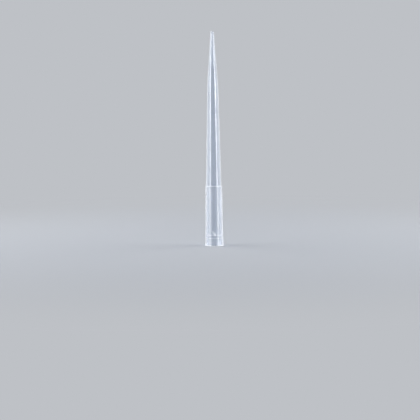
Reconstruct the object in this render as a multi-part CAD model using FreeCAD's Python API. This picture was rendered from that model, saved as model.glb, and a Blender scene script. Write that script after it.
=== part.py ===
import FreeCAD, Part
import math
import os

# A long dispensing tip for an air-displacement pipette, injection moulded in one piece.
# It stands on its wide mouth with the fine orifice up. Z is the height above the mouth rim,
# and the tip's own axis is the Z axis. All sizes are in millimetres.

# Heights above the mouth rim
LENGTH = 102.0
COLLAR_BREAK_HEIGHT = 8.5        # the mouth's flare eases into the nearly straight collar
SHOULDER_HEIGHT = 28.66          # top of the collar, where the rack ledge is
KNEE_HEIGHT = 77.0               # the gentle barrel taper turns into the nose taper
NOSE_BREAK_HEIGHT = 91.5         # the nose taper eases off over the last stretch

# Outer diameters
MOUTH_DIAMETER = 8.85            # just under the 9 mm pitch of multichannel pipettes
COLLAR_BREAK_DIAMETER = 8.16     # where the flare's line meets the straight collar's line
COLLAR_TOP_DIAMETER = 7.96
BARREL_DIAMETER = 7.32           # at the foot of the barrel, just inside the ledge
KNEE_DIAMETER = 5.18
NOSE_BREAK_DIAMETER = 2.84
END_DIAMETER = 1.56

# Walls and bore
LIP_WALL = 0.42
RING_FOOT_DIAMETER = 7.68        # inside of the flared lip where the first sealing ring starts
SEAL_DIAMETER = 7.32             # crest of both sealing rings, which grip the nozzle
GROOVE_DIAMETER = 7.54           # the corner that the rounded groove between them eases past
SOCKET_DIAMETER = 7.40           # just past the second ring
BARREL_WALL = 0.49
NOSE_WALL = 0.46
ORIFICE_DIAMETER = 0.80

# Sealing rings inside the collar, measured along the axis
LOWER_SEAL_HEIGHT = 3.80
UPPER_SEAL_HEIGHT = 5.25
SEAL_LAND = 0.34                 # straight crest of a ring
SEAL_RAMP = 0.25                 # slope beside a crest, towards the mouth and the barrel

# Roundings. Each is the distance from the corner at which the rounding starts.
FLARE_SETBACK = 8.0
KNEE_SETBACK = 4.0
NOSE_BREAK_SETBACK = 2.0
RIM_SETBACK = 0.12
LEDGE_SETBACK = 0.05
LEDGE_ROOT_SETBACK = 0.05
RING_SETBACK = 0.05
GROOVE_SETBACK = 0.35
END_SETBACK = 0.10
SLIGHT_TURN = math.radians(10.0)  # below this two tapers ease into each other

# Gate vestige: a low round pip on the outside of the collar
GATE_HEIGHT = 5.30
GATE_TURN = 4.0                  # degrees from the -Y side towards +X
GATE_PIP_RADIUS = 0.45
GATE_PIP_PROUD = 0.19
GATE_PIP_ROOT = 0.15             # how far the pip's root reaches into the wall

AXIS_POINT = FreeCAD.Vector(0, 0, 0)
AXIS = FreeCAD.Vector(0, 0, 1)
FULL_TURN = 360.0


def inner_corners():
    """Corners of the bore from the mouth up to the orifice, as (radius, height, setback)."""
    seal = SEAL_DIAMETER / 2
    half_land = SEAL_LAND / 2
    groove_height = (LOWER_SEAL_HEIGHT + UPPER_SEAL_HEIGHT) / 2
    lower_foot = LOWER_SEAL_HEIGHT - half_land - SEAL_RAMP
    upper_foot = UPPER_SEAL_HEIGHT + half_land + SEAL_RAMP
    return [
        (MOUTH_DIAMETER / 2 - LIP_WALL, 0.0, RIM_SETBACK),
        (RING_FOOT_DIAMETER / 2, lower_foot, RING_SETBACK),
        (seal, LOWER_SEAL_HEIGHT - half_land, RING_SETBACK),
        (seal, LOWER_SEAL_HEIGHT + half_land, RING_SETBACK),
        (GROOVE_DIAMETER / 2, groove_height, GROOVE_SETBACK),
        (seal, UPPER_SEAL_HEIGHT - half_land, RING_SETBACK),
        (seal, UPPER_SEAL_HEIGHT + half_land, RING_SETBACK),
        (SOCKET_DIAMETER / 2, upper_foot, RING_SETBACK),
        (BARREL_DIAMETER / 2 - BARREL_WALL, SHOULDER_HEIGHT, 0.0),
        (KNEE_DIAMETER / 2 - BARREL_WALL, KNEE_HEIGHT, KNEE_SETBACK),
        (NOSE_BREAK_DIAMETER / 2 - NOSE_WALL, NOSE_BREAK_HEIGHT, NOSE_BREAK_SETBACK),
        (ORIFICE_DIAMETER / 2, LENGTH, 0.0),
    ]


def outer_corners():
    """Corners of the outside from the orifice end down to the mouth rim."""
    return [
        (END_DIAMETER / 2, LENGTH, END_SETBACK),
        (NOSE_BREAK_DIAMETER / 2, NOSE_BREAK_HEIGHT, NOSE_BREAK_SETBACK),
        (KNEE_DIAMETER / 2, KNEE_HEIGHT, KNEE_SETBACK),
        (BARREL_DIAMETER / 2, SHOULDER_HEIGHT, LEDGE_ROOT_SETBACK),
        (COLLAR_TOP_DIAMETER / 2, SHOULDER_HEIGHT, LEDGE_SETBACK),
        (COLLAR_BREAK_DIAMETER / 2, COLLAR_BREAK_HEIGHT, FLARE_SETBACK),
        (MOUTH_DIAMETER / 2, 0.0, RIM_SETBACK),
    ]


def rounding(before, corner, after, setback):
    """Edge that rounds a corner, tangent to both of its sides.

    A real corner gets an arc. Where two tapers meet at a slight angle, as in the flare and
    at the knee, a parabola with the corner as its control point eases one into the other.
    """
    back = (before - corner).normalize()
    ahead = (after - corner).normalize()
    start = corner + back * setback
    end = corner + ahead * setback
    turn = math.pi - back.getAngle(ahead)
    if turn < SLIGHT_TURN:
        blend = Part.BezierCurve()
        blend.setPoles([start, corner, end])
        return blend.toShape()
    inward = (back + ahead).normalize()
    middle = corner + inward * (setback * math.tan(turn / 4))
    return Part.Arc(start, middle, end).toShape()


def profile_wire(corners):
    """Closed outline in the XZ plane: straight sides joined by the corners' roundings."""
    points = [FreeCAD.Vector(radius, 0, height) for radius, height, _ in corners]
    edges = []
    ends = []
    for i, (_, _, setback) in enumerate(corners):
        if setback:
            after = points[(i + 1) % len(points)]
            edge = rounding(points[i - 1], points[i], after, setback)
            edges.append(edge)
            ends.append((edge.firstVertex().Point, edge.lastVertex().Point))
        else:
            ends.append((points[i], points[i]))
    for i, (_, start) in enumerate(ends):
        finish = ends[(i + 1) % len(ends)][0]
        edges.append(Part.LineSegment(start, finish).toShape())
    return Part.Wire(Part.sortEdges(edges)[0])


def turned_body():
    """The tip's wall: the closed section swept once round the axis."""
    section = Part.Face(profile_wire(inner_corners() + outer_corners()))
    return section.revolve(AXIS_POINT, AXIS, FULL_TURN)


def collar_radius_at(height):
    """Outer radius of the flared collar, where its flare eases into the straight collar."""
    mouth = FreeCAD.Vector(MOUTH_DIAMETER / 2, 0, 0)
    corner = FreeCAD.Vector(COLLAR_BREAK_DIAMETER / 2, 0, COLLAR_BREAK_HEIGHT)
    top = FreeCAD.Vector(COLLAR_TOP_DIAMETER / 2, 0, SHOULDER_HEIGHT)
    flare = rounding(mouth, corner, top, FLARE_SETBACK)
    level = Part.LineSegment(
        FreeCAD.Vector(0, 0, height), FreeCAD.Vector(MOUTH_DIAMETER, 0, height)
    )
    return flare.distToShape(level.toShape())[1][0][0].x


def gate_pip():
    """The low round pip left where the gate was sheared off. Its root ends inside the wall."""
    side = math.radians(GATE_TURN - 90.0)
    reach = collar_radius_at(GATE_HEIGHT) + GATE_PIP_PROUD - GATE_PIP_RADIUS
    centre = FreeCAD.Vector(reach * math.cos(side), reach * math.sin(side), GATE_HEIGHT)
    inside = Part.makeCylinder(collar_radius_at(GATE_HEIGHT) - GATE_PIP_ROOT, 2 * GATE_HEIGHT)
    return Part.makeSphere(GATE_PIP_RADIUS, centre).cut(inside)


def pipette_tip():
    """The whole moulding as one closed solid."""
    return turned_body().fuse(gate_pip()).Solids[0]


def main():
    os.makedirs("parts", exist_ok=True)
    tip = pipette_tip()
    print("pipette_tip valid", tip.isValid(), "volume mm3", round(tip.Volume, 2))
    tip.exportStep("parts/pipette_tip.step")


main()
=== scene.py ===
import math

import bpy
import numpy as np
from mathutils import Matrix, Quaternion, Vector


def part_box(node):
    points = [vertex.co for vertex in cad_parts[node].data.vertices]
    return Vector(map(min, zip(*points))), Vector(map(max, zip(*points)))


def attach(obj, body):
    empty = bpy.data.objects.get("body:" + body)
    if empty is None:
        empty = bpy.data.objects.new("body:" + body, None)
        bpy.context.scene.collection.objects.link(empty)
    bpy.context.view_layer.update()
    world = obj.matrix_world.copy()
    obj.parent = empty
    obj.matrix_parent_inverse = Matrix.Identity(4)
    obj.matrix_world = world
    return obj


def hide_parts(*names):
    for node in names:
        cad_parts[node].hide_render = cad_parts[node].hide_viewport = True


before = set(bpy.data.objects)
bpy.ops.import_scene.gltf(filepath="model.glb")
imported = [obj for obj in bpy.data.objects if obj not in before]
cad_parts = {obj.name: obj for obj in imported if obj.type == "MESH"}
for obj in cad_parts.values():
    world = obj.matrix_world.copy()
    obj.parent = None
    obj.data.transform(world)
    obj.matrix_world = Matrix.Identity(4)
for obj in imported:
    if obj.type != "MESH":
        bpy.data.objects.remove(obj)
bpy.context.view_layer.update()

# A long pipette tip, moulded in one piece from natural polypropylene. It stands on its mouth.
# Sizes of the moulding are in millimetres, heights are above the mouth rim, and everything that
# is handed to Blender is in metres.
MM = 0.001
TIP_NODE = "pipette_tip"
tip_low, tip_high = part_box(TIP_NODE)
LENGTH = (tip_high.z - tip_low.z) / MM

COLLAR_BREAK_HEIGHT = 8.5
SHOULDER_HEIGHT = 28.66
KNEE_HEIGHT = 77.0
NOSE_BREAK_HEIGHT = 91.5

# How far from each corner of the wall's section its rounding starts.
RIM_SETBACK = 0.12
FLARE_SETBACK = 8.0
KNEE_SETBACK = 4.0
NOSE_BREAK_SETBACK = 2.0
LEDGE_SETBACK = 0.05
LEDGE_ROOT_SETBACK = 0.05
BORE_BREAK_SETBACK = 0.5           # in the bore, level with the ledge
RING_SETBACK = 0.05
GROOVE_SETBACK = 0.35
END_SETBACK = 0.10
ORIFICE_SETBACK = 0.03

COLLAR_BREAK_RADIUS = 4.08
COLLAR_TOP_RADIUS = 3.98
BARREL_RADIUS = 3.66
KNEE_RADIUS = 2.59
NOSE_BREAK_RADIUS = 1.42
END_RADIUS = 0.78
# The box is as wide as the outside is where the rim's rounding ends, so the corner that the
# rounding cuts off lies a little further out, in line with the collar's taper.
MOUTH_RADIUS = COLLAR_BREAK_RADIUS + (tip_high.x / MM - COLLAR_BREAK_RADIUS) * (
    COLLAR_BREAK_HEIGHT / (COLLAR_BREAK_HEIGHT - RIM_SETBACK)
)

# The bore narrows at two sealing rings, each with a straight land and a ramp beside it.
LIP_WALL = 0.42
RING_FOOT_RADIUS = 3.84
RING_RADIUS = 3.66
GROOVE_RADIUS = 3.77
SOCKET_RADIUS = 3.70
BARREL_WALL = 0.49
NOSE_WALL = 0.46
ORIFICE_RADIUS = 0.40
LOWER_RING_HEIGHT = 3.80
UPPER_RING_HEIGHT = 5.25
RING_HALF_LAND = 0.17
RING_RAMP = 0.25

# The gate was torn off beside the rings. It left a pip in a shallow dish, and a smear that runs
# up and to the left from it.
GATE_HEIGHT = 5.30
GATE_TURN = math.radians(4.0)      # from the -Y side towards +X
GATE_ANGLE = GATE_TURN - math.pi / 2
PIP_SPHERE_RADIUS = 0.45
PIP_PROUD = 0.19                   # of the whole cap, before the cut
PIP_CUT_LEAN = math.radians(23.0)  # the cut faces this far to the right
PIP_CUT_PITCH = math.radians(20.0)  # and this far up
PIP_CUT_ASIDE = -0.12              # the cut is as high as the whole cap this far to the right
PIP_CUT_UP = -0.16                 # and this far up
DISH_RADIUS = 0.80
DISH_DEPTH = 0.035
TAIL_LENGTH = 2.7
TAIL_LEAN = math.radians(20.0)
TAIL_BEND = 0.60
TAIL_HALF_WIDTH = 0.62
TAIL_NARROWING = 0.5               # share of its width that it loses towards its end
TAIL_RISE = 0.10
TEAR_RADIUS = 0.60                 # of the whitened skin round the pip
SMEAR_TEAR = 0.75
TEAR_RIDGE_WIDTH = 0.24            # torn skin is drawn out into short ridges along the smear
TEAR_RIDGE_LENGTH = 0.90
TEAR_RIDGE_RISE = 0.030
TEAR_RIDGE_SWING = 0.4             # how much stronger and weaker they get along the smear

# How much cloudier the wall is, from 0 to 1, where it isn't plain. At the rim, at the collar's top
# edge and on the outside at the rings, it is a painted highlight line.
RING_CLOUD = 0.7
RING_CLOUD_HALF_WIDTH = 0.20
RING_PAINTED_HIGHLIGHT_OUTSIDE = 0.38          # share of it painted on the outside as a highlight line
# A whiter band at the mouth rim: a painted highlight line.
RIM_PAINTED_HIGHLIGHT = 1.0
RIM_PAINTED_HIGHLIGHT_HALF_WIDTH = 0.42
# A whiter band at the collar's top edge: a painted highlight line.
SHOULDER_PAINTED_HIGHLIGHT = 0.9
SHOULDER_PAINTED_HIGHLIGHT_HALF_WIDTH = 0.16
NOSE_CLOUD = 0.8
NOSE_CLOUD_START = 84.0
NOSE_CLOUD_OUTSIDE = 0.2           # share of it that shows on the outside

ROUNDING_STEPS = 7
ROW_STEP = 2.0
ROW_GUARDS = (0.06, 0.14, 0.3, 0.7)   # rows this close to each rounding keep its shading crisp
GUARD_ROOM = 4.0                   # they need a stretch more than this many times as long
RING_ROW_STEP = 0.10
RING_ROW_MARGIN = 0.6
GATE_ROW_STEP = 0.05
GATE_ROW_MARGIN = 0.1
LEAST_ROW_STEP = 0.004
ROW_DECIMALS = 4                   # rows' places are rounded, so that those that coincide merge
COLUMNS = 168
CLOSE_COLUMNS = 4.0                # how much closer they stand beside the gate, less one
CLOSE_CENTRE = GATE_ANGLE - math.radians(5.0)   # a little to its left, towards the smear
CLOSE_HALF_SPAN = math.radians(16.0)
TURN_SAMPLES = 7201                # angles where the columns' closeness is added up


def linear_colour(hex_value, alpha=1.0):
    """sRGB hex string to the linear RGBA that shaders take."""
    srgb = np.array([int(hex_value[i:i + 2], 16) for i in (0, 2, 4)]) / 255.0
    linear = np.where(srgb <= 0.04045, srgb / 12.92, ((srgb + 0.055) / 1.055) ** 2.4)
    return (*linear.tolist(), alpha)


def add_node(tree, kind, inputs=(), **settings):
    """Adds a node, sets its properties, and fills its inputs with values or other nodes' sockets."""
    node = tree.nodes.new(kind)
    for name, value in settings.items():
        setattr(node, name, value)
    for name, value in dict(inputs).items():
        if isinstance(value, bpy.types.NodeSocket):
            tree.links.new(value, node.inputs[name])
        else:
            node.inputs[name].default_value = value
    return node


# ---- shape ----------------------------------------------------------------------------------

def wall_corners():
    """Corners of the wall's section as (radius, height, setback, on the outside) rows.

    They run up the bore from the mouth and back down the outside.
    """
    lower_foot = LOWER_RING_HEIGHT - RING_HALF_LAND - RING_RAMP
    upper_foot = UPPER_RING_HEIGHT + RING_HALF_LAND + RING_RAMP
    groove_height = (LOWER_RING_HEIGHT + UPPER_RING_HEIGHT) / 2
    return np.array([
        (MOUTH_RADIUS - LIP_WALL, 0.0, RIM_SETBACK, 0),
        (RING_FOOT_RADIUS, lower_foot, RING_SETBACK, 0),
        (RING_RADIUS, LOWER_RING_HEIGHT - RING_HALF_LAND, RING_SETBACK, 0),
        (RING_RADIUS, LOWER_RING_HEIGHT + RING_HALF_LAND, RING_SETBACK, 0),
        (GROOVE_RADIUS, groove_height, GROOVE_SETBACK, 0),
        (RING_RADIUS, UPPER_RING_HEIGHT - RING_HALF_LAND, RING_SETBACK, 0),
        (RING_RADIUS, UPPER_RING_HEIGHT + RING_HALF_LAND, RING_SETBACK, 0),
        (SOCKET_RADIUS, upper_foot, RING_SETBACK, 0),
        (BARREL_RADIUS - BARREL_WALL, SHOULDER_HEIGHT, BORE_BREAK_SETBACK, 0),
        (KNEE_RADIUS - BARREL_WALL, KNEE_HEIGHT, KNEE_SETBACK, 0),
        (NOSE_BREAK_RADIUS - NOSE_WALL, NOSE_BREAK_HEIGHT, NOSE_BREAK_SETBACK, 0),
        (ORIFICE_RADIUS, LENGTH, ORIFICE_SETBACK, 0),
        (END_RADIUS, LENGTH, END_SETBACK, 1),
        (NOSE_BREAK_RADIUS, NOSE_BREAK_HEIGHT, NOSE_BREAK_SETBACK, 1),
        (KNEE_RADIUS, KNEE_HEIGHT, KNEE_SETBACK, 1),
        (BARREL_RADIUS, SHOULDER_HEIGHT, LEDGE_ROOT_SETBACK, 1),
        (COLLAR_TOP_RADIUS, SHOULDER_HEIGHT, LEDGE_SETBACK, 1),
        (COLLAR_BREAK_RADIUS, COLLAR_BREAK_HEIGHT, FLARE_SETBACK, 1),
        (MOUTH_RADIUS, 0.0, RIM_SETBACK, 1),
    ])


def rounded_outline(corners):
    """Closed outline through the corners, with each one rounded by its tangent arc.

    The arc from A to B with the corner C as control point is the rational quadratic curve
    ((1-t)^2 A + 2 w t(1-t) C + t^2 B) / ((1-t)^2 + 2 w t(1-t) + t^2), where the weight w is
    the cosine of half the turn. Returns rows of (radius, height, on the outside).
    """
    point, setback, outside = corners[:, :2], corners[:, 2:3], corners[:, 3]
    back = np.roll(point, 1, axis=0) - point
    ahead = np.roll(point, -1, axis=0) - point
    back /= np.linalg.norm(back, axis=1, keepdims=True)
    ahead /= np.linalg.norm(ahead, axis=1, keepdims=True)
    weight = np.sqrt((1.0 - np.sum(back * ahead, axis=1)) / 2.0)[:, None, None]
    t = np.linspace(0.0, 1.0, ROUNDING_STEPS)[None, :, None]
    start = (point + back * setback)[:, None, :]
    end = (point + ahead * setback)[:, None, :]
    middle_share = 2.0 * weight * t * (1.0 - t)
    total = (1.0 - t) ** 2 + middle_share + t ** 2
    curve = ((1.0 - t) ** 2 * start + middle_share * point[:, None, :] + t ** 2 * end) / total
    side = np.repeat(outside, ROUNDING_STEPS)
    return np.column_stack([curve.reshape(-1, 2), side])


def section_rows(outline):
    """The outline resampled at the heights where the skin needs rows.

    Rows stand at every rounding point, just beside each rounding, every ROW_STEP along the
    straight walls, and closer together on the outside, beside the sealing rings and the gate.
    """
    closed = np.vstack([outline, outline[:1]])
    step = np.linalg.norm(np.diff(closed[:, :2], axis=0), axis=1)
    along = np.concatenate([[0.0], np.cumsum(step)])
    guards = []
    for guard in ROW_GUARDS:
        ends = np.flatnonzero(step > GUARD_ROOM * guard)
        guards += [along[ends] + guard, along[ends + 1] - guard]
    even = np.arange(0.0, along[-1], ROW_STEP)
    ring_heights = np.arange(
        LOWER_RING_HEIGHT - RING_ROW_MARGIN, UPPER_RING_HEIGHT + RING_ROW_MARGIN, RING_ROW_STEP
    )
    gate_heights = np.arange(
        GATE_HEIGHT - TEAR_RADIUS - GATE_ROW_MARGIN,
        GATE_HEIGHT + TAIL_LENGTH + GATE_ROW_MARGIN,
        GATE_ROW_STEP,
    )
    close_heights = np.concatenate([ring_heights, gate_heights])
    going_up = np.flatnonzero(closed[:, 2] > 0.5)[::-1]
    close_by = np.interp(close_heights, closed[going_up, 1], along[going_up])
    station = np.concatenate([along[:-1], *guards, even, close_by])
    station = np.unique(np.round(station, ROW_DECIMALS))
    station = station[station < along[-1] - LEAST_ROW_STEP]
    too_close = np.concatenate([[False], np.diff(station) < LEAST_ROW_STEP])
    station = station[~too_close]
    return np.column_stack([np.interp(station, along, closed[:, i]) for i in range(3)])


def column_angles():
    """Angles round the axis, closer together beside the gate.

    They stand at even steps of the integral of 1 + c / (1 + (d / s)^6), where d is the angle
    from the middle of the close columns, s is half their span and c is their extra closeness.
    """
    turn = np.linspace(-math.pi, math.pi, TURN_SAMPLES)
    density = 1.0 + CLOSE_COLUMNS / (1.0 + ((turn - CLOSE_CENTRE) / CLOSE_HALF_SPAN) ** 6)
    share = np.concatenate([[0.0], np.cumsum((density[1:] + density[:-1]) / 2.0)])
    return np.interp(np.arange(COLUMNS) / COLUMNS, share / share[-1], turn)


def smear_axes(across, up):
    """Distances from the gate along the smear and to its right.

    They are worked out from the distances along the skin to the right and up. All are in mm.
    """
    along = up * math.cos(TAIL_LEAN) - across * math.sin(TAIL_LEAN)
    aside = up * math.sin(TAIL_LEAN) + across * math.cos(TAIL_LEAN)
    return along, aside


def gate_smear(across, up):
    """Comma-shaped smear where the gate was torn off, from 0 to 1.

    Along the smear's own axis it rises and falls as a sine of the square root of the share of
    its length. Across it, it is a bell curve that narrows in step with that share and bends to
    the left with its square.
    """
    along, aside = smear_axes(across, up)
    share = np.clip(along / TAIL_LENGTH, 0.0, 1.0)
    bend = aside + TAIL_BEND * share ** 2
    width = TAIL_HALF_WIDTH * (1.0 - TAIL_NARROWING * share)
    return np.exp(-(bend / width) ** 2) * np.sin(math.pi * np.sqrt(share))


def torn_skin(across, up):
    """How torn the skin is beside the gate, from 0 to 1.

    It is wholly torn out to half of TEAR_RADIUS from the pip's middle, less and less in a
    straight line from there, and partly along the smear.
    """
    pip = np.clip(2.0 - 2.0 * np.hypot(across, up) / TEAR_RADIUS, 0.0, 1.0)
    return np.maximum(pip, SMEAR_TEAR * gate_smear(across, up))


def gate_pip(across, up):
    """Height of the pip in mm: the cap of a sphere, with a slanted plane cut off it."""
    distance = np.hypot(across, up)
    sphere = np.sqrt(np.clip(PIP_SPHERE_RADIUS ** 2 - distance ** 2, 0.0, None))
    cap = sphere - (PIP_SPHERE_RADIUS - PIP_PROUD)
    fall_aside = math.tan(PIP_CUT_LEAN) * (across - PIP_CUT_ASIDE)
    fall_up = math.tan(PIP_CUT_PITCH) * (up - PIP_CUT_UP)
    cut = PIP_PROUD - fall_aside - fall_up
    return np.clip(np.minimum(cap, cut), 0.0, None)


def gate_relief(across, up):
    """How far the skin stands out beside the gate, in mm.

    It is the pip in the middle of a shallow dish, plus the smear, and wherever the skin is torn,
    short ridges: a sine across the smear, stronger and weaker along it. They fade towards the
    pip's middle with the square of the distance.
    """
    distance = np.hypot(across, up)
    dish = -DISH_DEPTH * np.clip(1.0 - (distance / DISH_RADIUS) ** 2, 0.0, 1.0) ** 2
    smear = TAIL_RISE * gate_smear(across, up)
    along, aside = smear_axes(across, up)
    swing = TEAR_RIDGE_SWING * np.cos(2.0 * math.pi * along / TEAR_RIDGE_LENGTH)
    waves = np.sin(2.0 * math.pi * aside / TEAR_RIDGE_WIDTH) * (1.0 - TEAR_RIDGE_SWING + swing)
    beside_pip = np.clip(distance / PIP_SPHERE_RADIUS, 0.0, 1.0) ** 2
    ridges = TEAR_RIDGE_RISE * torn_skin(across, up) * beside_pip * waves
    return gate_pip(across, up) + dish + smear + ridges


def wall_clouding_and_painted_highlights(height, outside, torn):
    """How much cloudier the wall is than its plain stretches, with its painted highlight lines, from
    0 to 1.

    Bell curves in height stand at the two sealing rings inside the mouth, where the wall is
    thicker, and a share of them shows on the outside as painted highlight lines. The bell curves
    on the outside at the mouth rim and the collar's top edge are painted highlight lines too. The
    nose is nearly solid, so it grows cloudier in step with the distance towards its end. On the
    outside the plastic that was torn at the gate is stress-whitened.
    """
    rings = RING_CLOUD * sum(
        np.exp(-((height - ring) / RING_CLOUD_HALF_WIDTH) ** 2)
        for ring in (LOWER_RING_HEIGHT, UPPER_RING_HEIGHT)
    )
    rim = RIM_PAINTED_HIGHLIGHT * np.exp(-(height / RIM_PAINTED_HIGHLIGHT_HALF_WIDTH) ** 2)
    shoulder = SHOULDER_PAINTED_HIGHLIGHT * np.exp(
        -((height - SHOULDER_HEIGHT) / SHOULDER_PAINTED_HIGHLIGHT_HALF_WIDTH) ** 2
    )
    nose = NOSE_CLOUD * np.clip(
        (height - NOSE_CLOUD_START) / (LENGTH - NOSE_CLOUD_START), 0.0, 1.0
    )
    # On the outside, the rim and shoulder bands and the rings' share are painted highlight lines.
    skin = torn + rim + shoulder + RING_PAINTED_HIGHLIGHT_OUTSIDE * rings + NOSE_CLOUD_OUTSIDE * nose
    bore = rings + nose
    return np.clip(bore + (skin - bore) * outside, 0.0, 1.0)


def grid_faces(count_rows, count_columns):
    """Four-sided faces of a grid of points whose last row and column join up with its first."""
    row, column = np.meshgrid(np.arange(count_rows), np.arange(count_columns), indexing="ij")
    next_row = (row + 1) % count_rows
    next_column = (column + 1) % count_columns
    return np.stack([
        row * count_columns + column,
        next_row * count_columns + column,
        next_row * count_columns + next_column,
        row * count_columns + next_column,
    ], axis=-1).reshape(-1, 4)


def turned_surface(name, rows, angles):
    """Closed mesh of the section swept round the Z axis.

    A point is (r cos a, r sin a, z), with r pushed out by the gate's relief on the outside. The
    points carry how far they are on the outside, how torn the skin is there, and how much cloudier
    the wall is, with its painted highlight lines.
    """
    radius, height, outside = (rows[:, i][:, None] for i in range(3))
    turn = angles[None, :]
    across = (turn - GATE_ANGLE) * radius
    up = np.broadcast_to(height - GATE_HEIGHT, across.shape)
    pushed = radius + outside * gate_relief(across, up)
    z = np.broadcast_to(height, across.shape)
    points = np.stack([pushed * np.cos(turn), pushed * np.sin(turn), z], axis=-1) * MM
    faces = grid_faces(*across.shape)
    mesh = bpy.data.meshes.new(name)
    mesh.from_pydata(points.reshape(-1, 3).tolist(), [], faces.tolist())
    mesh.polygons.foreach_set("use_smooth", np.ones(len(faces), dtype=bool))
    torn = outside * torn_skin(across, up)
    carried = {
        "outside": np.broadcast_to(outside, across.shape),
        "torn": torn,
        "clouding_and_highlights": wall_clouding_and_painted_highlights(height, outside, torn),
    }
    for label, values in carried.items():
        layer = mesh.attributes.new(label, "FLOAT", "POINT")
        layer.data.foreach_set("value", values.astype(np.float32).ravel())
    mesh.update()
    piece = bpy.data.objects.new(name, mesh)
    bpy.context.scene.collection.objects.link(piece)
    return piece


# ---- finishes -------------------------------------------------------------------------------

# Clarity is the share of the light that goes through a face without being scattered.
BARREL_SKIN_CLARITY = 0.97
BARREL_BORE_CLARITY = 0.70
COLLAR_SKIN_CLARITY = 0.70
COLLAR_BORE_CLARITY = 0.84
# Clarity of clouded plastic, which the painted highlight lines also take.
CLOUDED_AND_HIGHLIT_CLARITY = 0.05
MATT_EDGE = 0.05                   # mm each way over which the collar's matt skin ends
POLISHED_ROUGHNESS = 0.14
MATT_ROUGHNESS = 0.26
POLYPROPYLENE_IOR = 1.49
BARREL_GLOSS = 1.0
COLLAR_GLOSS = 0.85
GLOSS_ROUGHNESS = 0.08
GLOSS_IOR = 1.5
COOLER_BODY_COLOUR = "DCE2EB"
WARMER_BODY_COLOUR = "E6EAF0"
# Whiter colour of clouded plastic, which the painted highlight lines also take.
CLOUDED_AND_HIGHLIT_COLOUR = "F3F5F8"
PASSING_LIGHT_COLOUR = "E2E5EA"
DRIFT_WIDTH = 7.0                  # mm between slightly warmer and cooler patches of the plastic
FLOW_WIDTH = 0.8                   # mm between flow lines on the barrel
FLOW_STRETCH = 9.0
FLOW_DEPTH = 0.003
# The matt grain of the collar is about 0.03 mm wide, too fine to show, so it is drawn coarser.
GRAIN_WIDTH = 0.22
GRAIN_DEPTH = 0.010
TEAR_WIDTH = 0.12                  # mm between the fine lumps on the torn skin
TEAR_DEPTH = 0.05


def lengthwise_flow(tree, place):
    """Noise drawn out along the tip, from 0 to 1: the faint lines of the plastic's flow.

    It is read at (x / r, y / r, FLOW_STRETCH z), with r the distance from the axis, so a line
    keeps its place round the axis as the tip tapers.
    """
    level = add_node(tree, "ShaderNodeVectorMath", {
        0: place, 1: (1.0, 1.0, 0.0),
    }, operation="MULTIPLY").outputs["Vector"]
    round_axis = add_node(tree, "ShaderNodeVectorMath", {
        0: level,
    }, operation="NORMALIZE").outputs["Vector"]
    drawn_out = add_node(tree, "ShaderNodeVectorMath", {
        0: place, 1: (0.0, 0.0, FLOW_STRETCH), 2: round_axis,
    }, operation="MULTIPLY_ADD").outputs["Vector"]
    return add_node(tree, "ShaderNodeTexNoise", {
        "Vector": drawn_out, "Scale": BARREL_RADIUS / FLOW_WIDTH, "Detail": 2.0,
    }).outputs["Fac"]


def moulded_clarity(tree, collar, skin, cloudy_and_highlit):
    """Socket with the clarity of each face of the wall, less where the wall is cloudier and where
    highlight lines are painted.
    """
    barrel_clarity = add_node(tree, "ShaderNodeMapRange", {
        "Value": skin, "To Min": BARREL_BORE_CLARITY, "To Max": BARREL_SKIN_CLARITY,
    }).outputs["Result"]
    collar_clarity = add_node(tree, "ShaderNodeMapRange", {
        "Value": skin, "To Min": COLLAR_BORE_CLARITY, "To Max": COLLAR_SKIN_CLARITY,
    }).outputs["Result"]
    plain_clarity = add_node(tree, "ShaderNodeMapRange", {
        "Value": collar, "To Min": barrel_clarity, "To Max": collar_clarity,
    }).outputs["Result"]
    return add_node(tree, "ShaderNodeMapRange", {
        "Value": cloudy_and_highlit, "To Min": plain_clarity, "To Max": CLOUDED_AND_HIGHLIT_CLARITY,
    }).outputs["Result"]


def moulded_tint(tree, place, cloudy_and_highlit):
    """Socket with the plastic's colour, which drifts a little and is whiter where it is cloudier and
    where highlight lines are painted.
    """
    drift = add_node(tree, "ShaderNodeTexNoise", {
        "Vector": place, "Scale": 1.0 / (DRIFT_WIDTH * MM), "Detail": 2.0,
    }).outputs["Fac"]
    body = add_node(tree, "ShaderNodeMix", {
        "Factor": drift,
        "A": linear_colour(COOLER_BODY_COLOUR),
        "B": linear_colour(WARMER_BODY_COLOUR),
    }, data_type="RGBA").outputs["Result"]
    return add_node(tree, "ShaderNodeMix", {
        "Factor": cloudy_and_highlit, "A": body, "B": linear_colour(CLOUDED_AND_HIGHLIT_COLOUR),
    }, data_type="RGBA").outputs["Result"]


def moulded_relief(tree, place, matt_skin):
    """Sockets with the normals: with the flow lines alone, and with the grain and tear as well."""
    streaked = add_node(tree, "ShaderNodeBump", {
        "Height": lengthwise_flow(tree, place), "Strength": 1.0, "Distance": FLOW_DEPTH * MM,
    }).outputs["Normal"]
    grain = add_node(tree, "ShaderNodeTexNoise", {
        "Vector": place, "Scale": 1.0 / (GRAIN_WIDTH * MM), "Detail": 1.0,
    }).outputs["Fac"]
    grained = add_node(tree, "ShaderNodeBump", {
        "Height": grain, "Strength": matt_skin, "Distance": GRAIN_DEPTH * MM,
        "Normal": streaked,
    }).outputs["Normal"]
    tear = add_node(tree, "ShaderNodeTexNoise", {
        "Vector": place, "Scale": 1.0 / (TEAR_WIDTH * MM), "Detail": 2.0,
    }).outputs["Fac"]
    torn = add_node(tree, "ShaderNodeAttribute", attribute_name="torn").outputs["Fac"]
    ragged = add_node(tree, "ShaderNodeBump", {
        "Height": tear, "Strength": torn, "Distance": TEAR_DEPTH * MM, "Normal": grained,
    }).outputs["Normal"]
    return streaked, ragged


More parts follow.
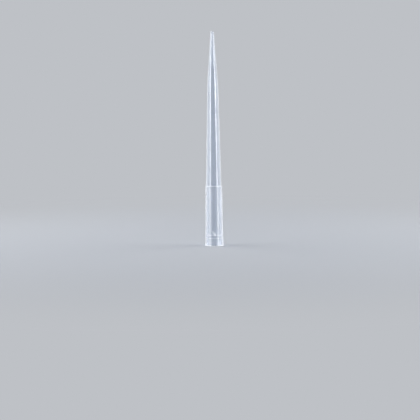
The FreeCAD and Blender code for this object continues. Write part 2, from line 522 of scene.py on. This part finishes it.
def natural_polypropylene():
    """Natural polypropylene, uncoloured, injection moulded in a polished and part-matted tool.

    Light goes through it but is scattered on the way, so it looks like thin milk with a cool
    cast. The barrel comes from a polished cavity and shows crisp streaks; the collar's cavity is
    finely matted, and its wall is thicker, so it is paler and softer.
    """
    material = bpy.data.materials.new("natural_polypropylene_moulded")
    material.use_nodes = True
    tree = material.node_tree
    tree.nodes.clear()
    place = add_node(tree, "ShaderNodeTexCoord").outputs["Object"]
    apart = add_node(tree, "ShaderNodeSeparateXYZ", {"Vector": place})
    collar = add_node(tree, "ShaderNodeMapRange", {
        "Value": apart.outputs["Z"],
        "From Min": (SHOULDER_HEIGHT + MATT_EDGE) * MM,
        "From Max": (SHOULDER_HEIGHT - MATT_EDGE) * MM,
    }).outputs["Result"]
    skin = add_node(tree, "ShaderNodeAttribute", attribute_name="outside").outputs["Fac"]
    # Cloudier plastic, with the painted highlight lines at the rim, the collar's top edge and the
    # rings.
    cloudy_and_highlit = add_node(tree, "ShaderNodeAttribute", attribute_name="clouding_and_highlights").outputs["Fac"]
    matt_skin = add_node(tree, "ShaderNodeMath", {
        0: collar, 1: skin,
    }, operation="MULTIPLY").outputs["Value"]
    roughness = add_node(tree, "ShaderNodeMapRange", {
        "Value": matt_skin, "To Min": POLISHED_ROUGHNESS, "To Max": MATT_ROUGHNESS,
    }).outputs["Result"]
    gloss = add_node(tree, "ShaderNodeMapRange", {
        "Value": collar, "To Min": BARREL_GLOSS, "To Max": COLLAR_GLOSS,
    }).outputs["Result"]
    streaked, ragged = moulded_relief(tree, place, matt_skin)
    # The coat stands for the crisp part of the skin's reflections, which the grain doesn't break.
    shader = add_node(tree, "ShaderNodeBsdfPrincipled", {
        "Base Color": moulded_tint(tree, place, cloudy_and_highlit),
        "Normal": ragged,
        "Coat Normal": streaked,
        "Roughness": roughness,
        "Transmission Weight": moulded_clarity(tree, collar, skin, cloudy_and_highlit),
        "IOR": POLYPROPYLENE_IOR,
        "Coat Weight": gloss,
        "Coat Roughness": GLOSS_ROUGHNESS,
        "Coat IOR": GLOSS_IOR,
    })
    # Light goes on through the wall, a little weaker at each of its faces, and lights the wall's
    # far side and the floor behind it.
    passing = add_node(tree, "ShaderNodeBsdfTransparent", {
        "Color": linear_colour(PASSING_LIGHT_COLOUR),
    })
    wall = add_node(tree, "ShaderNodeMixShader", {
        "Fac": add_node(tree, "ShaderNodeLightPath").outputs["Is Shadow Ray"],
        1: shader.outputs["BSDF"],
        2: passing.outputs["BSDF"],
    })
    add_node(tree, "ShaderNodeOutputMaterial", {"Surface": wall.outputs["Shader"]})
    return material


def add_seen_factor(tree):
    """Socket that is 1 where the camera, a reflection or a refraction looks, and 0 for light."""
    path = add_node(tree, "ShaderNodeLightPath").outputs
    straight = add_node(tree, "ShaderNodeMath", {
        0: path["Is Camera Ray"], 1: path["Is Glossy Ray"],
    }, operation="MAXIMUM").outputs["Value"]
    return add_node(tree, "ShaderNodeMath", {
        0: straight, 1: path["Is Transmission Ray"],
    }, operation="MAXIMUM").outputs["Value"]


def matt_card():
    """Pale matt card, which runs out into the backdrop's plain colour far away."""
    material = bpy.data.materials.new("pale_matt_card")
    material.use_nodes = True
    tree = material.node_tree
    tree.nodes.clear()
    place = add_node(tree, "ShaderNodeTexCoord").outputs["Object"]
    distance = add_node(tree, "ShaderNodeVectorMath", {0: place}, operation="LENGTH")
    fade = add_node(tree, "ShaderNodeMapRange", {
        "Value": distance.outputs["Value"], "From Min": FADE_START, "From Max": FADE_END,
    }, interpolation_type="SMOOTHSTEP").outputs["Result"]
    share = add_node(tree, "ShaderNodeMath", {
        0: fade, 1: add_seen_factor(tree),
    }, operation="MULTIPLY").outputs["Value"]
    sheet = add_node(tree, "ShaderNodeBsdfPrincipled", {
        "Base Color": linear_colour(STAGE_COLOUR),
        "Roughness": FLOOR_ROUGHNESS,
        "Specular IOR Level": 0.0,
    }).outputs["BSDF"]
    plain = add_node(tree, "ShaderNodeEmission", {
        "Color": linear_colour(STAGE_COLOUR), "Strength": 1.0,
    }).outputs["Emission"]
    mix = add_node(tree, "ShaderNodeMixShader", {"Fac": share, 1: sheet, 2: plain})
    add_node(tree, "ShaderNodeOutputMaterial", {"Surface": mix.outputs["Shader"]})
    return material


# ---- stage, light and camera ----------------------------------------------------------------

STAGE_COLOUR = "BEC1C6"
FLOOR_HALF_SIZE = 6.0
FLOOR_ROUGHNESS = 1.0
FADE_START = 0.06                  # metres from the tip, where the floor starts to turn plain
FADE_END = 0.24
WORLD_COLOUR = "D2E2FA"
WORLD_LIGHT = 0.14
CAMERA_LENS = 150.0
CAMERA_SENSOR = 36.0
CAMERA_ELEVATION = math.radians(6.0)
CAMERA_ROLL = math.radians(0.63)
FRAME_WIDTH = 1.9685               # in tip lengths
AIM_HEIGHT = 0.1665                # in tip lengths
AIM_SIDE = -0.01885                # in tip lengths

# Each upright soft box: name, azimuth from the camera's side to the right in degrees, distance,
# height above the floor and width in metres, radiance, whether it lights the matt share of
# surfaces or is mirrored in their gloss, and whether it is graded to be brighter further up.
SOFTBOXES = [
    ("left_softbox", -104.0, 0.45, 0.28, 0.56, 6.0, True, False),
    ("right_softbox", 98.0, 0.45, 0.28, 0.50, 5.7, True, False),
    ("front_softbox", 0.0, 0.80, 0.60, 0.60, 1.1, True, False),
    ("left_strip", -54.0, 0.50, 0.50, 0.21, 5.4, False, True),
    ("right_strip", 54.0, 0.50, 0.50, 0.15, 8.0, False, True),
    ("left_card", -98.0, 0.50, 0.50, 0.54, 1.3, False, False),
    ("right_card", 98.0, 0.50, 0.50, 0.54, 1.3, False, False),
    ("left_rim_box", -148.0, 0.55, 0.45, 0.20, 1.3, False, False),
    ("right_rim_box", 148.0, 0.55, 0.45, 0.20, 1.3, False, False),
]
GRADE_START = -0.01                # metres above the floor
GRADE_END = 0.10
GRADE_FOOT_SHARE = 0.75            # of a graded box's radiance, up to where the grade starts
GRADE_HEAD_SHARE = 1.5             # of it, from where the grade ends
OVERHEAD_HEIGHT = 0.9
OVERHEAD_SIZE = 1.0
OVERHEAD_RADIANCE = 1.25


def add_floor():
    """Large square floor through the foot of the tip."""
    half = FLOOR_HALF_SIZE
    mesh = bpy.data.meshes.new("floor")
    corners = [(-half, -half, 0.0), (half, -half, 0.0), (half, half, 0.0), (-half, half, 0.0)]
    mesh.from_pydata(corners, [], [(0, 1, 2, 3)])
    floor = bpy.data.objects.new("floor", mesh)
    bpy.context.scene.collection.objects.link(floor)
    floor.data.materials.append(matt_card())
    floor.visible_glossy = False


def grade_upwards(data, height):
    """Grades an upright box in a smooth step, from its foot share to its head share.

    The second parameter of its face runs from 0 at its lower edge, which is as far below the
    floor as its upper edge is above it, to 1 at its upper edge.
    """
    data.use_nodes = True
    tree = data.node_tree
    tree.nodes.clear()
    place = add_node(tree, "ShaderNodeNewGeometry").outputs["Parametric"]
    up = add_node(tree, "ShaderNodeSeparateXYZ", {"Vector": place}).outputs["Y"]
    share = add_node(tree, "ShaderNodeMapRange", {
        "Value": up,
        "From Min": 0.5 + GRADE_START / (2.0 * height),
        "From Max": 0.5 + GRADE_END / (2.0 * height),
        "To Min": GRADE_FOOT_SHARE,
        "To Max": GRADE_HEAD_SHARE,
    }, interpolation_type="SMOOTHSTEP").outputs["Result"]
    glow = add_node(tree, "ShaderNodeEmission", {"Strength": share}).outputs["Emission"]
    add_node(tree, "ShaderNodeOutputLight", {"Surface": glow})


def add_softbox(name, azimuth, distance, height, width, radiance, lights_matt, graded):
    """Upright soft box that faces the tip.

    It reaches as far below the floor as above it. The floor stops the lower half's light, but
    reflections look past the floor, so the upright walls show the whole box as a streak. Its
    power is pi times its radiance times its area.
    """
    turn = math.radians(azimuth)
    data = bpy.data.lights.new(name, "AREA")
    data.shape = "RECTANGLE"
    data.size = width
    data.size_y = 2.0 * height
    data.energy = radiance * math.pi * width * 2.0 * height
    if graded:
        grade_upwards(data, height)
    lamp = bpy.data.objects.new(name, data)
    place = Vector((math.sin(turn), -math.cos(turn), 0.0)) * distance
    lamp.location = place
    lamp.rotation_mode = "QUATERNION"
    lamp.rotation_quaternion = (-place).to_track_quat("-Z", "Y")
    lamp.visible_camera = False
    lamp.visible_transmission = False
    lamp.visible_diffuse = lights_matt
    lamp.visible_glossy = not lights_matt
    bpy.context.scene.collection.objects.link(lamp)


def add_overhead_softbox():
    """Large square soft box level above the tip, which lights the floor round it evenly."""
    data = bpy.data.lights.new("overhead_softbox", "AREA")
    data.size = OVERHEAD_SIZE
    data.energy = OVERHEAD_RADIANCE * math.pi * OVERHEAD_SIZE ** 2
    lamp = bpy.data.objects.new("overhead_softbox", data)
    lamp.location = (0.0, 0.0, OVERHEAD_HEIGHT)
    lamp.visible_camera = False
    lamp.visible_transmission = False
    bpy.context.scene.collection.objects.link(lamp)


def add_world():
    """Soft even light from all round, with a pale background wherever it is seen."""
    world = bpy.data.worlds.new("studio")
    bpy.context.scene.world = world
    world.use_nodes = True
    tree = world.node_tree
    tree.nodes.clear()
    light = add_node(tree, "ShaderNodeBackground", {
        "Color": linear_colour(WORLD_COLOUR), "Strength": WORLD_LIGHT,
    })
    backdrop = add_node(tree, "ShaderNodeBackground", {
        "Color": linear_colour(STAGE_COLOUR), "Strength": 1.0,
    })
    mix = add_node(tree, "ShaderNodeMixShader", {
        "Fac": add_seen_factor(tree), 1: light.outputs["Background"],
        2: backdrop.outputs["Background"],
    })
    add_node(tree, "ShaderNodeOutputWorld", {"Surface": mix.outputs["Shader"]})


def add_camera():
    """Long lens a little above the floor, looking at the lower part of the tip."""
    data = bpy.data.cameras.new("camera")
    data.lens = CAMERA_LENS
    data.sensor_width = CAMERA_SENSOR
    camera = bpy.data.objects.new("camera", data)
    length = LENGTH * MM
    distance = FRAME_WIDTH * length * CAMERA_LENS / CAMERA_SENSOR
    aim = Vector((AIM_SIDE * length, 0.0, AIM_HEIGHT * length))
    back = Vector((0.0, -math.cos(CAMERA_ELEVATION), math.sin(CAMERA_ELEVATION)))
    camera.location = aim + back * distance
    camera.rotation_mode = "QUATERNION"
    roll = Quaternion((0.0, 0.0, 1.0), -CAMERA_ROLL)
    camera.rotation_quaternion = (-back).to_track_quat("-Z", "Y") @ roll
    bpy.context.scene.collection.objects.link(camera)
    bpy.context.scene.camera = camera


def main():
    rows = section_rows(rounded_outline(wall_corners()))
    tip = turned_surface("moulded_tip", rows, column_angles())
    tip.data.materials.append(natural_polypropylene())
    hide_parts(TIP_NODE)
    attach(tip, "root")
    add_floor()
    for softbox in SOFTBOXES:
        add_softbox(*softbox)
    add_overhead_softbox()
    add_world()
    add_camera()
    bpy.context.scene.view_settings.view_transform = "Standard"


main()
